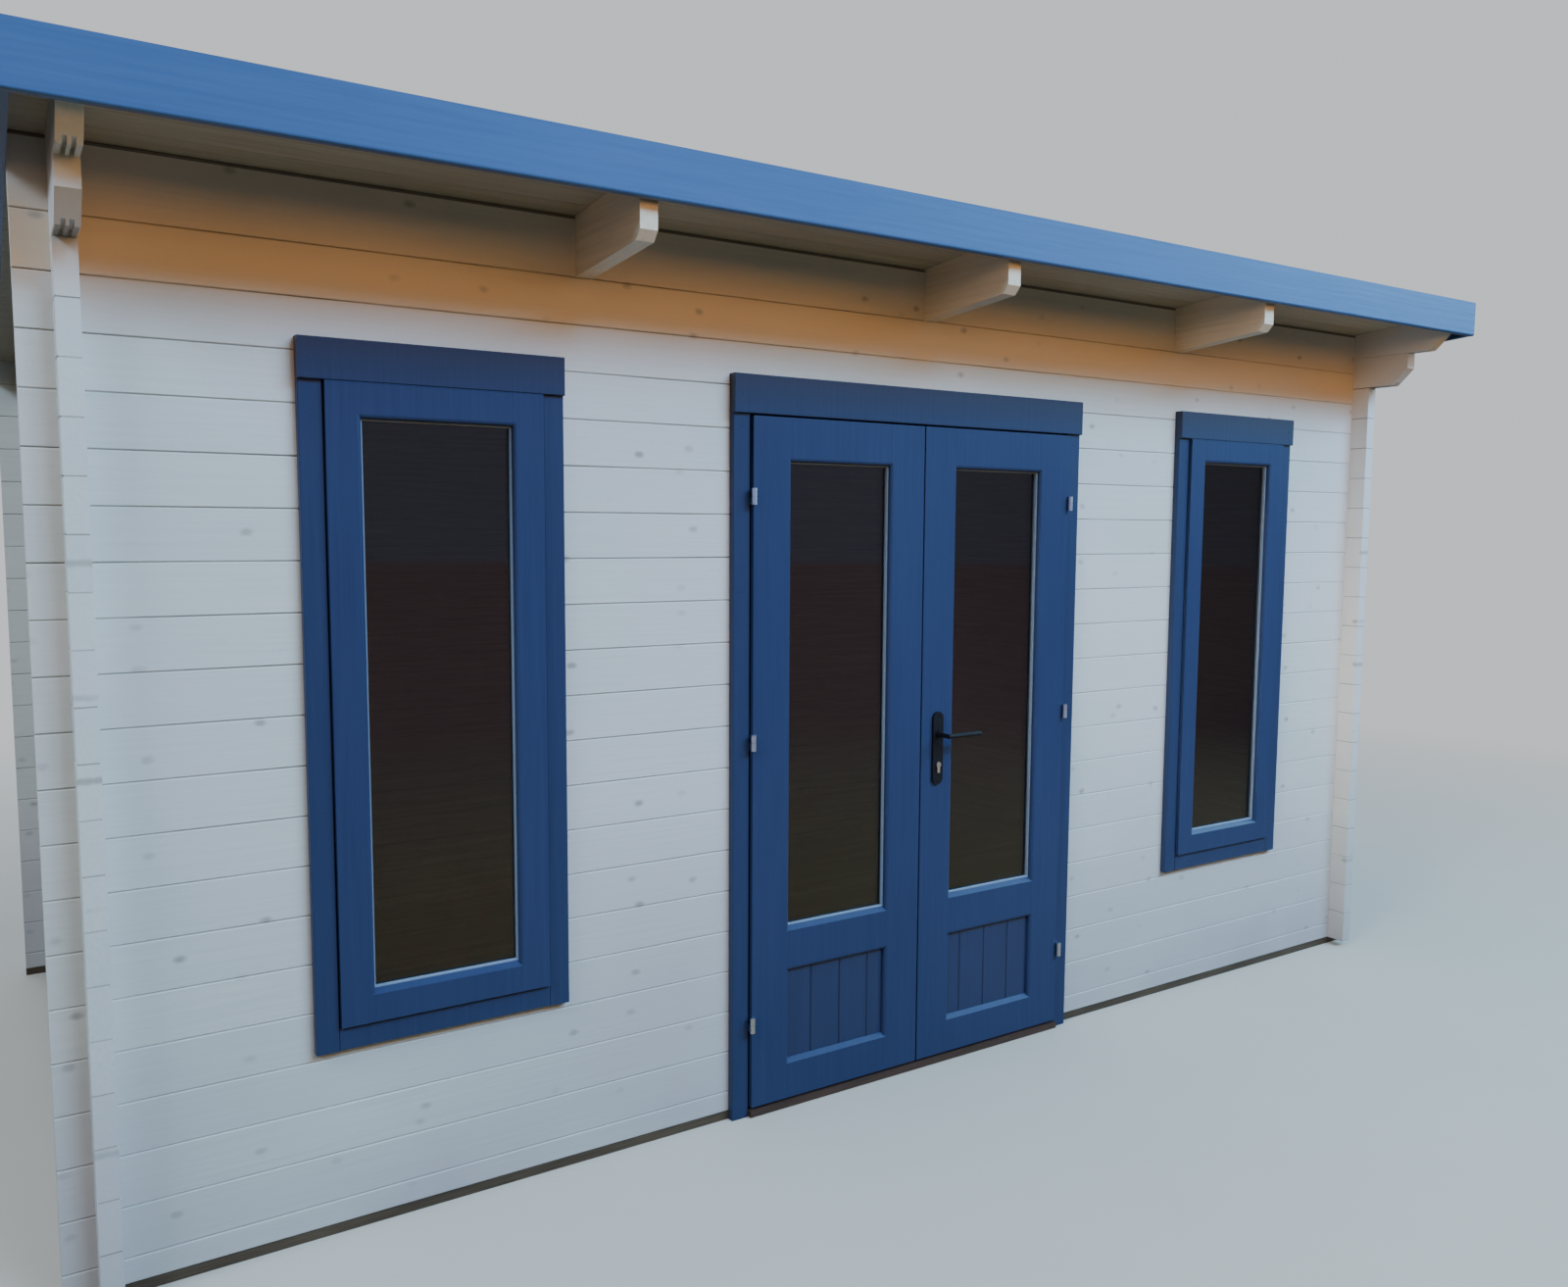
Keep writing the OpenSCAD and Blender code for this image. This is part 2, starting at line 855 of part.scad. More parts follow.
module left_hinge_barrels() {
    color("#c8ccd0") placed() hinge_caps();
}

module right_hinge_barrels() {
    color("#c8ccd0") placed() mirror([1, 0, 0]) hinge_caps();
}

// Upright plate with round ends
module plate_shape() {
    reach = (plate_h - plate_w) / 2;
    translate([-plate_w / 2, -reach]) square([plate_w, 2 * reach]);
    for (z = [-reach, reach]) translate([0, z]) circle(d = plate_w);
}

module handle_plates() {
    color("#1c1d20") placed()
        difference() {
            translate([lever_x, 0, lever_z - plate_drop])
                for (y = [-leaf_out - plate_t, leaf_back]) along_y(y, y + plate_t) plate_shape();
            spindle_hole();
            lock_bar(-leaf_out - plate_t - over, leaf_back + plate_t + over, seat);
        }
}

module lock_cylinder() {
    color("#b9bcc0") placed()
        lock_bar(-leaf_out - plate_t - lock_out, leaf_back + plate_t + lock_out, 0);
}

// One round grip with its neck and boss, drawn from the plate's face outwards along -Y
module grip() {
    rotate([90, 0, 0]) cylinder(r = boss_r, h = boss_h);
    rotate([90, 0, 0]) cylinder(d = lever_d, h = lever_reach);
    translate([0, -lever_reach, 0]) {
        sphere(d = lever_d);
        rotate([0, 90, 0]) cylinder(d = lever_d, h = lever_len - lever_d / 2);
        translate([lever_len - lever_d / 2, 0, 0]) sphere(d = lever_d);
    }
}

module door_lever() {
    front = -leaf_out - plate_t - lever_play;
    back = leaf_back + plate_t + lever_play;
    color("#1c1d20") placed()
        translate([lever_x, 0, lever_z]) {
            along_y(front - over, back + over) circle(r = spindle_r);
            translate([0, front, 0]) grip();
            translate([0, back, 0]) mirror([0, 1, 0]) grip();
        }
}

bearers_front_back();
bearers_sides();
floor_joists();
floor_boards();
front_wall_left_low();
front_wall_left_corner();
front_wall_left_pier();
front_wall_right_low();
front_wall_right_corner();
front_wall_right_pier();
front_wall_top();
left_side_wall();
right_side_wall();
back_wall();
roof_purlins();
roof_boards();
roof_covering();
front_fascia_left();
front_fascia_right();
left_fascia();
right_fascia();
back_fascia();
left_window_frame();
left_window_trim();
left_window_sash();
left_window_glass();
right_window_frame();
right_window_trim();
right_window_sash();
right_window_glass();
door_frame();
door_trim();
door_threshold();
left_door_leaf();
left_door_glass();
left_door_panel();
right_door_leaf();
right_door_glass();
right_door_panel();
hinge_pins();
left_hinge_barrels();
right_hinge_barrels();
handle_plates();
lock_cylinder();
door_lever();
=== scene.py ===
import math

import bmesh
import bpy
from mathutils import Matrix, Vector


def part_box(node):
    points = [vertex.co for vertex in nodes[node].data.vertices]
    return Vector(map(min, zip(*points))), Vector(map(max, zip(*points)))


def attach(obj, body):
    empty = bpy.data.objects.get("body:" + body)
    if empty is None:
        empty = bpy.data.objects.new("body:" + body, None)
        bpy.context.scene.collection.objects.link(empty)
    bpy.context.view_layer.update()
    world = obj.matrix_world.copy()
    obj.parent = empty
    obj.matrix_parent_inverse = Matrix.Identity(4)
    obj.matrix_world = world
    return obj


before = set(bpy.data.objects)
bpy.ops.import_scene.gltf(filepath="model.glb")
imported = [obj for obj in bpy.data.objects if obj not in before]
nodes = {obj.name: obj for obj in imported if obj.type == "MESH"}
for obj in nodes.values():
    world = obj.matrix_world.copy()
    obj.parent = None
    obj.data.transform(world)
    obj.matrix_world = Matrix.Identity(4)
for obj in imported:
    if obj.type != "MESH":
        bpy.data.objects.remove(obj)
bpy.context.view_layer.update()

# Bearers: treated softwood battens laid on the ground under every wall, so that no log
# stands in the wet. They are rough sawn and brown with the treatment.
bearer_light = (0.13, 0.095, 0.065)
bearer_dark = (0.05, 0.037, 0.028)


def new_material(name, roughness, gloss=0.5, metallic=0.0):
    """A material with one Principled shader, given with its node tree and that shader."""
    material = bpy.data.materials.new(name)
    material.use_nodes = True
    tree = material.node_tree
    shader = tree.nodes["Principled BSDF"]
    shader.inputs["Roughness"].default_value = roughness
    shader.inputs["Specular IOR Level"].default_value = gloss
    shader.inputs["Metallic"].default_value = metallic
    return material, tree, shader


def join(tree, source, target):
    tree.links.new(source, target)


def place_of(tree, scale=(1, 1, 1)):
    """Object coordinates, scaled."""
    where = tree.nodes.new("ShaderNodeTexCoord")
    mapping = tree.nodes.new("ShaderNodeMapping")
    mapping.inputs["Scale"].default_value = scale
    join(tree, where.outputs["Object"], mapping.inputs["Vector"])
    return mapping.outputs["Vector"]


def along_grain(along, stretch):
    """Scales that draw a texture out along one axis."""
    return tuple(1 if axis == along else stretch for axis in "XYZ")


def noise(tree, vector, scale, detail=2.0, roughness=0.5):
    texture = tree.nodes.new("ShaderNodeTexNoise")
    texture.inputs["Scale"].default_value = scale
    texture.inputs["Detail"].default_value = detail
    texture.inputs["Roughness"].default_value = roughness
    join(tree, vector, texture.inputs["Vector"])
    return texture.outputs["Fac"]


def spread(tree, value, low, high, to_low=0.0, to_high=1.0):
    """The value taken from one range to another, and held inside it."""
    change = tree.nodes.new("ShaderNodeMapRange")
    change.inputs["From Min"].default_value = low
    change.inputs["From Max"].default_value = high
    change.inputs["To Min"].default_value = to_low
    change.inputs["To Max"].default_value = to_high
    join(tree, value, change.inputs["Value"])
    return change.outputs["Result"]


def maths(tree, kind, first, second=None):
    """One Math node; each side is a socket or a number."""
    node = tree.nodes.new("ShaderNodeMath")
    node.operation = kind
    for slot, side in zip(node.inputs, (first, second)):
        if isinstance(side, (int, float)):
            slot.default_value = side
        elif side is not None:
            join(tree, side, slot)
    return node.outputs["Value"]


def product(tree, first, second):
    return maths(tree, "MULTIPLY", first, second)


def weighted(tree, share, first, second):
    """A share of the first value, and the rest of the second."""
    return maths(tree, "ADD", product(tree, first, share), product(tree, second, 1 - share))


def blend_of(tree, share, first, second):
    """Mix of two colours; each is a socket or three numbers, and share is a socket or a number."""
    node = tree.nodes.new("ShaderNodeMix")
    node.data_type = "RGBA"
    for slot, side in ((node.inputs[6], first), (node.inputs[7], second)):
        if isinstance(side, tuple):
            slot.default_value = (*side, 1)
        else:
            join(tree, side, slot)
    if isinstance(share, (int, float)):
        node.inputs[0].default_value = share
    else:
        join(tree, share, node.inputs[0])
    return node.outputs[2]


def bumped(tree, shader, height, distance):
    bump = tree.nodes.new("ShaderNodeBump")
    bump.inputs["Strength"].default_value = 1.0
    bump.inputs["Distance"].default_value = distance
    join(tree, height, bump.inputs["Height"])
    join(tree, bump.outputs["Normal"], shader.inputs["Normal"])


def dress(material, *names):
    """Gives the named CAD nodes one material."""
    for name in names:
        nodes[name].data.materials.clear()
        nodes[name].data.materials.append(material)


def sawn_timber(name, along, light, dark, roughness=0.8):
    """Bare sawn wood with its grain along one axis."""
    material, tree, shader = new_material(name, roughness)
    fibres = noise(tree, place_of(tree, along_grain(along, 26)), 9.0, 4.0, 0.65)
    patches = noise(tree, place_of(tree), 3.0, 3.0)
    tone = spread(tree, weighted(tree, 0.6, fibres, patches), 0.35, 0.65)
    join(tree, blend_of(tree, tone, dark, light), shader.inputs["Base Color"])
    bumped(tree, shader, fibres, 0.0006)
    return material


dress(sawn_timber("bearer_timber", "X", bearer_light, bearer_dark), "bearers_front_back")
dress(sawn_timber("side_bearer_timber", "Y", bearer_light, bearer_dark), "bearers_sides")

# Floor joists: treated battens from the front bearer to the back one, paler than the bearers
# because they stay dry. The floor boards are nailed down on them.
joist_light = (0.36, 0.27, 0.15)
joist_dark = (0.2, 0.14, 0.08)
dress(sawn_timber("joist_timber", "Y", joist_light, joist_dark), "floor_joists")

# Floor boards: planed and bare pine, tongued and grooved, along the cabin. Each board has its
# own tone and rings, and there is a dark line at every joint.
floor_board_width = 0.12
pine_light = (0.56, 0.36, 0.19)
pine_dark = (0.40, 0.22, 0.10)


def axes_of(tree):
    """Object coordinates as three outputs, named X, Y and Z."""
    separate = tree.nodes.new("ShaderNodeSeparateXYZ")
    join(tree, place_of(tree), separate.inputs["Vector"])
    return separate.outputs


def boards_in_rows(tree, coordinate, first_joint, width):
    """How many rows lie below a point, with a fraction, and a random value for each row."""
    row = maths(tree, "DIVIDE", maths(tree, "SUBTRACT", coordinate, first_joint), width)
    chance = tree.nodes.new("ShaderNodeTexWhiteNoise")
    chance.noise_dimensions = "1D"
    join(tree, maths(tree, "FLOOR", row), chance.inputs["W"])
    return row, chance.outputs["Value"]


def joint_line(tree, row, low, high):
    """1 at the edges of the rows and 0 between them."""
    from_middle = maths(tree, "ABSOLUTE", maths(tree, "SUBTRACT", maths(tree, "FRACT", row), 0.5))
    return spread(tree, from_middle, low, high)


def moved_by_chance(tree, vector, chance, amount):
    """The vector moved by a random length, so that no two boards show the same grain."""
    shift = tree.nodes.new("ShaderNodeCombineXYZ")
    for axis in "XYZ":
        join(tree, product(tree, chance, amount), shift.inputs[axis])
    moved = tree.nodes.new("ShaderNodeVectorMath")
    moved.operation = "ADD"
    join(tree, vector, moved.inputs[0])
    join(tree, shift.outputs["Vector"], moved.inputs[1])
    return moved.outputs["Vector"]


floor_pine, tree, shader = new_material("floor_pine", 0.5)
row, chance = boards_in_rows(tree, axes_of(tree)["Y"], 0.0, floor_board_width)
drawn_out = moved_by_chance(tree, place_of(tree, along_grain("X", 12)), chance, 31.0)
rings = noise(tree, drawn_out, 2.2, 5.0, 0.6)
board = blend_of(tree, spread(tree, rings, 0.38, 0.62), pine_light, pine_dark)
board = blend_of(tree, spread(tree, chance, 0, 1, 0.0, 0.35), board, pine_dark)
joint_shadow = tuple(part * 0.25 for part in pine_dark)
board = blend_of(tree, joint_line(tree, row, 0.485, 0.497), board, joint_shadow)
join(tree, board, shader.inputs["Base Color"])
bumped(tree, shader, rings, 0.0004)
dress(floor_pine, "floor_boards")

# Log walls: planed spruce logs of 44 mm, tongued and grooved on each other and crossed at the
# corners, painted a cool white outside. Grain, small knots and each log's own tone show
# through the paint; inside they are bare. Logs of the side walls lie half a course higher.
# The paint also carries painted light: painted shade in the joints, along the wall tops and
# towards the ground, and painted warm light on the front's top two logs.
course = 0.114
bearer_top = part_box("bearers_sides")[1].z
front_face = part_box("front_wall_left_pier")[0].y
log_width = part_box("front_wall_left_pier")[1].y - front_face
half_log = log_width / 2
back_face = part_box("bearers_sides")[1].y + log_width
indoors_span = {
    "X": (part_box("left_side_wall")[0].x + half_log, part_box("right_side_wall")[1].x - half_log),
    "Y": (front_face + half_log, back_face - half_log),
}
top_joint = bearer_top + 19.5 * course
eave_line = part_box("front_wall_top")[1].z - 0.008
wall_white = (0.81, 0.81, 0.76)
wall_shade = (0.66, 0.68, 0.66)
wall_blush = (0.80, 0.765, 0.75)
# Painted warm light: the tan of the front's top logs, where low warm light reaches under the eaves.
warm_light_tan = (0.80, 0.63, 0.44)
knot_tint = (0.36, 0.34, 0.31)
# Painted shade: the walls grow darker and bluer towards the ground.
low_painted_shade = (0.36, 0.35, 0.39)
# Painted shade in the V joints of the logs, outside and inside.
joint_painted_shade = (0.23, 0.21, 0.18)
bare_joint_shade = (0.1, 0.06, 0.03)
# Painted shade along the top of the wall, under the roof boards.
eave_painted_shade = (0.10, 0.07, 0.05)
knots_along = 5.5
knots_up = 8.8


def indoors(tree, where):
    """1 between the middles of the outer walls, 0 elsewhere."""
    inside = None
    for axis, (low, high) in indoors_span.items():
        for kind, limit in (("GREATER_THAN", low), ("LESS_THAN", high)):
            test = maths(tree, kind, where[axis], limit)
            inside = test if inside is None else product(tree, inside, test)
    return inside


def knot_marks(tree, where, along):
    """Round spots with ragged edges, one to a cell of the wall's face, faint or missing in most."""
    on_face = tree.nodes.new("ShaderNodeCombineXYZ")
    join(tree, product(tree, where[along], knots_along), on_face.inputs["X"])
    join(tree, product(tree, where["Z"], knots_up), on_face.inputs["Y"])
    cells = tree.nodes.new("ShaderNodeTexVoronoi")
    cells.voronoi_dimensions = "2D"
    cells.inputs["Scale"].default_value = 1.0
    join(tree, on_face.outputs["Vector"], cells.inputs["Vector"])
    ragged = product(tree, noise(tree, place_of(tree), 60.0), 0.06)
    reach = maths(tree, "ADD", cells.outputs["Distance"], ragged)
    picked = tree.nodes.new("ShaderNodeSeparateColor")
    join(tree, cells.outputs["Color"], picked.inputs["Color"])
    strength = spread(tree, picked.outputs[0], 0.5, 1.0)
    return product(tree, spread(tree, reach, 0.06, 0.125, 1.0, 0.0), strength)


def painted_warm_light(tree, where):
    """How much painted warm light the front's top two logs carry, less close to the roof."""
    second_joint = top_joint - course
    rising = spread(tree, where["Z"], second_joint - 0.1 * course, second_joint + 0.1 * course,
                    0.0, 0.75)
    fading = spread(tree, where["Z"], top_joint - 0.02, top_joint + 0.06, 1.0, 0.3)
    in_front = maths(tree, "LESS_THAN", where["Y"], 0.0)
    return product(tree, product(tree, rising, in_front), fading)


def log_paint(name, along, first_joint):
    """White paint on stacked logs with painted shade; logs along X also get painted warm light."""
    material, tree, shader = new_material(name, 0.5)
    where = axes_of(tree)
    row, chance = boards_in_rows(tree, where["Z"], first_joint, course)
    drawn_out = moved_by_chance(tree, place_of(tree, along_grain(along, 30)), chance, 17.0)
    fibres = noise(tree, drawn_out, 3.0, 5.0, 0.6)
    knot = knot_marks(tree, where, along)
    clouds = noise(tree, place_of(tree), 1.7)
    paint = blend_of(tree, spread(tree, fibres, 0.35, 0.7, 0.0, 0.45), wall_white, wall_shade)
    paint = blend_of(tree, spread(tree, chance, 0, 1, 0.0, 0.5), paint, wall_shade)
    paint = blend_of(tree, spread(tree, clouds, 0.42, 0.60, 0.0, 0.9), paint, wall_blush)
    # Painted warm light on the front's top two logs.
    if along == "X":
        paint = blend_of(tree, painted_warm_light(tree, where), paint, warm_light_tan)
    paint = blend_of(tree, product(tree, knot, 0.85), paint, knot_tint)
    # Painted shade, darker towards the ground and patchy with the tone clouds.
    low_shade = product(tree, spread(tree, where["Z"], 0.02, 0.95, 0.95, 0.0), clouds)
    paint = blend_of(tree, low_shade, paint, low_painted_shade)
    below_top_log = maths(tree, "LESS_THAN", where["Z"], top_joint + 0.02)
    joint = product(tree, joint_line(tree, row, 0.482, 0.494), below_top_log)
    # Painted shade in the joints: patchy, fainter to the right and low down on the front, where the
    # joints catch the light.
    joint_shade_share = spread(tree, noise(tree, place_of(tree, (3, 3, 9)), 1.0), 0.35, 0.65, 0.45, 0.95)
    if along == "X":
        joint_shade_share = product(tree, joint_shade_share, spread(tree, where["X"], -0.6, 1.4, 1.0, 0.5))
        joint_shade_share = product(tree, joint_shade_share, spread(tree, where["Z"], 0.4, 1.5, 0.35, 1.0))
    paint = blend_of(tree, product(tree, joint, joint_shade_share), paint, joint_painted_shade)
    # Painted shade on the top edge of the front and back walls, where they meet the roof boards.
    if along == "X":
        eave = product(tree, maths(tree, "GREATER_THAN", where["Z"], eave_line), 0.8)
        paint = blend_of(tree, eave, paint, eave_painted_shade)
    bare = blend_of(tree, spread(tree, fibres, 0.35, 0.65), pine_light, pine_dark)
    bare = blend_of(tree, joint, bare, bare_joint_shade)
    join(tree, blend_of(tree, indoors(tree, where), paint, bare), shader.inputs["Base Color"])
    bumped(tree, shader, maths(tree, "SUBTRACT", fibres, product(tree, knot, 0.5)), 0.0007)
    return material


front_paint = log_paint("front_log_paint", "X", bearer_top + course / 2)
dress(front_paint, "front_wall_top", "back_wall")
for side in ("left", "right"):
    dress(front_paint, *[f"front_wall_{side}_{part}" for part in ("low", "corner", "pier")])
dress(log_paint("side_log_paint", "Y", bearer_top), "left_side_wall", "right_side_wall")

# Roof timber: three purlins through the front and back walls carry tongued and grooved roof
# boards. All of it is painted a warm white underneath, where the overhang shows it. The
# purlins take a brighter copy of the paint, painted light, and the roof boards a darker copy,
# painted shade.
purlin_lit_pale = (0.92, 0.82, 0.67)
purlin_lit_deep = (0.81, 0.71, 0.56)
soffit_shaded_pale = (0.58, 0.54, 0.44)
soffit_shaded_deep = (0.46, 0.42, 0.33)


def soffit_paint(name, along, light, shade):
    """Warm white paint outdoors, bare wood between the outer walls."""
    material, tree, shader = new_material(name, 0.55)
    fibres = noise(tree, place_of(tree, along_grain(along, 30)), 3.0, 5.0, 0.6)
    paint = blend_of(tree, spread(tree, fibres, 0.35, 0.7), light, shade)
    bare = blend_of(tree, spread(tree, fibres, 0.35, 0.65), pine_light, pine_dark)
    colour = blend_of(tree, indoors(tree, axes_of(tree)), paint, bare)
    join(tree, colour, shader.inputs["Base Color"])
    bumped(tree, shader, fibres, 0.0006)
    return material


# Purlins: a brighter copy of the paint, painted light; roof boards: a darker copy, painted shade.
dress(soffit_paint("purlin_lit_paint", "Y", purlin_lit_pale, purlin_lit_deep), "roof_purlins")
dress(soffit_paint("roof_board_shaded_paint", "X", soffit_shaded_pale, soffit_shaded_deep), "roof_boards")

# Roof covering: dark grey reinforced roofing sheet, stuck down over the boards in wide
# strips that lap from the front to the back. Its face is matt with a fine grit.
roofing_dark = (0.036, 0.032, 0.029)
roofing_light = (0.092, 0.083, 0.075)
roofing_worn = (0.075, 0.066, 0.058)
roofing, tree, shader = new_material("roofing_sheet", 0.85)
grit = noise(tree, place_of(tree), 900.0)
waves = noise(tree, place_of(tree), 2.5)
tone = blend_of(tree, spread(tree, grit, 0.3, 0.7), roofing_dark, roofing_light)
tone = blend_of(tree, spread(tree, waves, 0.3, 0.7, 0.0, 0.5), tone, roofing_worn)
join(tree, tone, shader.inputs["Base Color"])
bumped(tree, shader, maths(tree, "ADD", waves, product(tree, grit, 0.1)), 0.004)
dress(roofing, "roof_covering")
roof_low, roof_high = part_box("roof_covering")
sheet_thick = 0.004
strip_thick = 0.0016
lap_places = (0.46, -0.48)
roof_fall = (roof_high.z - roof_low.z - sheet_thick) / (roof_high.y - roof_low.y)


def roof_face(y, strips_below):
    """Height of the covering's face at a place, with that many strips laid on it."""
    return roof_high.z - roof_fall * (y - roof_low.y) + strips_below * strip_thick


def start_piece(name, add, **numbers):
    """Adds one primitive alone, and leaves it in edit mode with nothing selected."""
    bpy.ops.object.select_all(action="DESELECT")
    add(**numbers)
    piece = bpy.context.object
    piece.name = name
    bpy.ops.object.transform_apply(location=True, rotation=True, scale=True)
    bpy.ops.object.mode_set(mode="EDIT")
    bpy.ops.mesh.select_all(action="DESELECT")
    return piece


def pick(piece, kind, test):
    """Selects the faces or edges that pass the test, and no others."""
    bpy.ops.mesh.select_mode(type=kind)
    bpy.ops.mesh.select_all(action="DESELECT")
    shape = bmesh.from_edit_mesh(piece.data)
    for element in {"FACE": shape.faces, "EDGE": shape.edges}[kind]:
        element.select_set(test(element))
    shape.select_flush_mode()
    bmesh.update_edit_mesh(piece.data)


def joined(name, pieces):
    """Makes one piece of several, at the origin."""
    bpy.ops.object.select_all(action="DESELECT")
    for piece in pieces:
        piece.select_set(True)
    bpy.context.view_layer.objects.active = pieces[0]
    if len(pieces) > 1:
        bpy.ops.object.join()
    pieces[0].name = pieces[0].data.name = name
    return pieces[0]


def finished(piece, surface, body):
    """Gives a piece its material and the body it rides on."""
    piece.data.materials.clear()
    piece.data.materials.append(surface)
    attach(piece, body)


strips = []
for strips_below, lap in enumerate(lap_places):
    middle = (roof_low.y + lap) / 2
    strip = start_piece(
        f"roofing_strip_{strips_below}", bpy.ops.mesh.primitive_cube_add, size=1,
        location=(0, middle, roof_face(middle, strips_below) + strip_thick / 2),
        rotation=(-math.atan(roof_fall), 0, 0),
        scale=(roof_high.x - roof_low.x, lap - roof_low.y, strip_thick))
    pick(strip, "EDGE", lambda edge: all(vertex.co.y > middle for vertex in edge.verts))
    bpy.ops.mesh.bevel(offset=strip_thick * 0.4, segments=2)
    bpy.ops.object.mode_set(mode="OBJECT")
    strips.append(strip)
finished(joined("roofing_strips", strips), roofing, "root")

# Roofing nails: galvanised clout nails with wide flat heads, driven through the lower edge of
# each strip where it laps over the next, and along the eaves at the back.
nail_radius = 0.006
nail_height = 0.0012
nail_spacing = 0.15
nails_in_row = 30
first_nail = -nail_spacing * (nails_in_row - 1) / 2
nail_margin = 0.02


def speckled(name, roughness, scale, dark, light, detail=2.0, stretch=(1, 1, 1), relief=0.0, **sheen):
    """A fine-grained surface between two tones; sheen is the gloss and the metallic value."""
    material, tree, shader = new_material(name, roughness, **sheen)
    speckle = noise(tree, place_of(tree, stretch), scale, detail)
    join(tree, blend_of(tree, speckle, dark, light), shader.inputs["Base Color"])
    if relief:
        bumped(tree, shader, speckle, relief)
    return material


def copies_at(first, name, places):
    """The first piece, drawn at the origin, set at each place as one piece."""
    made = []
    for place in places:
        one = first.copy()
        one.data = first.data.copy()
        one.data.transform(Matrix.Translation(place))
        bpy.context.scene.collection.objects.link(one)
        made.append(one)
    bpy.data.objects.remove(first)
    return joined(name, made)


galvanised_dark = (0.24, 0.24, 0.24)
galvanised_light = (0.4, 0.4, 0.4)
galvanised = speckled("galvanised_steel", 0.5, 400.0, galvanised_dark, galvanised_light, metallic=1.0)
nail = start_piece("nail", bpy.ops.mesh.primitive_cylinder_add,
                   vertices=12, radius=nail_radius, depth=nail_height)
pick(nail, "FACE", lambda face: face.normal.z > 0.9)
bpy.ops.mesh.inset(thickness=nail_radius * 0.35)
bpy.ops.transform.translate(value=(0, 0, nail_height * 0.25))
bpy.ops.object.mode_set(mode="OBJECT")
nail_places = []
for strips_below, lap in zip((2, 1, 0), (*lap_places[::-1], roof_high.y)):
    y = lap - nail_margin
    z = roof_face(y, strips_below) + nail_height * 0.4
    nail_places += [(first_nail + nail_spacing * step, y, z) for step in range(nails_in_row)]
finished(copies_at(nail, "roofing_nails", nail_places), galvanised, "root")

# Fascias: planed boards nailed round the edge of the roof, the front one in two lengths that
# meet in the middle. They are painted a lighter blue than the joinery, and they face the sky.
fascia_blue = (0.037, 0.116, 0.285)
fascia_worn = (0.055, 0.145, 0.34)


def board_paint(name, along, colour, worn, roughness=0.42, gloss=0.5):
    """Satin paint over planed boards: faint grain, and a slow change of tone along the board."""
    material, tree, shader = new_material(name, roughness, gloss)
    fibres = noise(tree, place_of(tree, along_grain(along, 30)), 3.0, 4.0, 0.6)
    drift = noise(tree, place_of(tree), 1.3)
    tone = spread(tree, weighted(tree, 0.55, fibres, drift), 0.35, 0.65)
    join(tree, blend_of(tree, tone, colour, worn), shader.inputs["Base Color"])
    bumped(tree, shader, fibres, 0.0005)
    return material


dress(board_paint("front_fascia_paint", "X", fascia_blue, fascia_worn),
      "front_fascia_left", "front_fascia_right", "back_fascia")
dress(board_paint("side_fascia_paint", "Y", fascia_blue, fascia_worn),
      "left_fascia", "right_fascia")

# Windows: a frame let into the logs, and a sash with long stiles between its rails, of planed
# softwood in a deep slate blue satin paint. Trim boards cover the gap to the logs, and
# countersunk screws hold them. Their head boards carry painted shade under the eaves,
# greyer and darker.
joinery_blue = (0.0253, 0.0450, 0.114)
joinery_worn = (0.033, 0.056, 0.137)
trim_blue = (0.0245, 0.0425, 0.104)
trim_worn = (0.032, 0.053, 0.126)
# Painted shade on the head boards under the eaves.
head_painted_shade = (0.037, 0.041, 0.077)
head_bottom = 1.945
head_top = 2.05
head_gap = 0.003
trim_show = 0.052
trim_depth = 0.020
screw_radius = 0.0035
screw_height = 0.0008
screw_spacing = 0.44
lowest_screw = 0.12
foot_screw = 0.026
foot_screw_inset = 0.1
head_screw_drop = 0.045
strip_depth = 0.021
strip_setback = 0.012
joinery = board_paint("joinery_paint", "Z", joinery_blue, joinery_worn, 0.3, 0.25)
trim_paint = board_paint("trim_paint", "Z", trim_blue, trim_worn, 0.35, 0.25)
tree = trim_paint.node_tree
base = tree.nodes["Principled BSDF"].inputs["Base Color"]
painted = base.links[0].from_socket
up = axes_of(tree)["Z"]
# Painted shade: the head boards turn greyer and darker towards the eaves.
eave_shade_share = product(tree, spread(tree, up, head_bottom, head_top, 0.15, 0.9),
                    maths(tree, "GREATER_THAN", up, head_bottom))
join(tree, blend_of(tree, eave_shade_share, painted, head_painted_shade), base)


def screw_head(name, facing=-1):
    """Countersunk head at the origin, flat side to the front, with the recess for the driver."""
    head = start_piece(name, bpy.ops.mesh.primitive_cylinder_add, vertices=16,
                       radius=screw_radius, depth=screw_height, rotation=(math.pi / 2, 0, 0))
    pick(head, "FACE", lambda face: face.normal.y * facing > 0.9)
    bpy.ops.mesh.inset(thickness=screw_radius * 0.12)
    bpy.ops.transform.translate(value=(0, facing * screw_height * 0.3, 0))
    bpy.ops.mesh.inset(thickness=screw_radius * 0.45)
    recess = {"value": (0, -facing * screw_height, 0)}
    bpy.ops.mesh.extrude_region_move(TRANSFORM_OT_translate=recess)
    bpy.ops.mesh.select_all(action="SELECT")
    bpy.ops.mesh.normals_make_consistent(inside=False)
    bpy.ops.object.mode_set(mode="OBJECT")
    return head


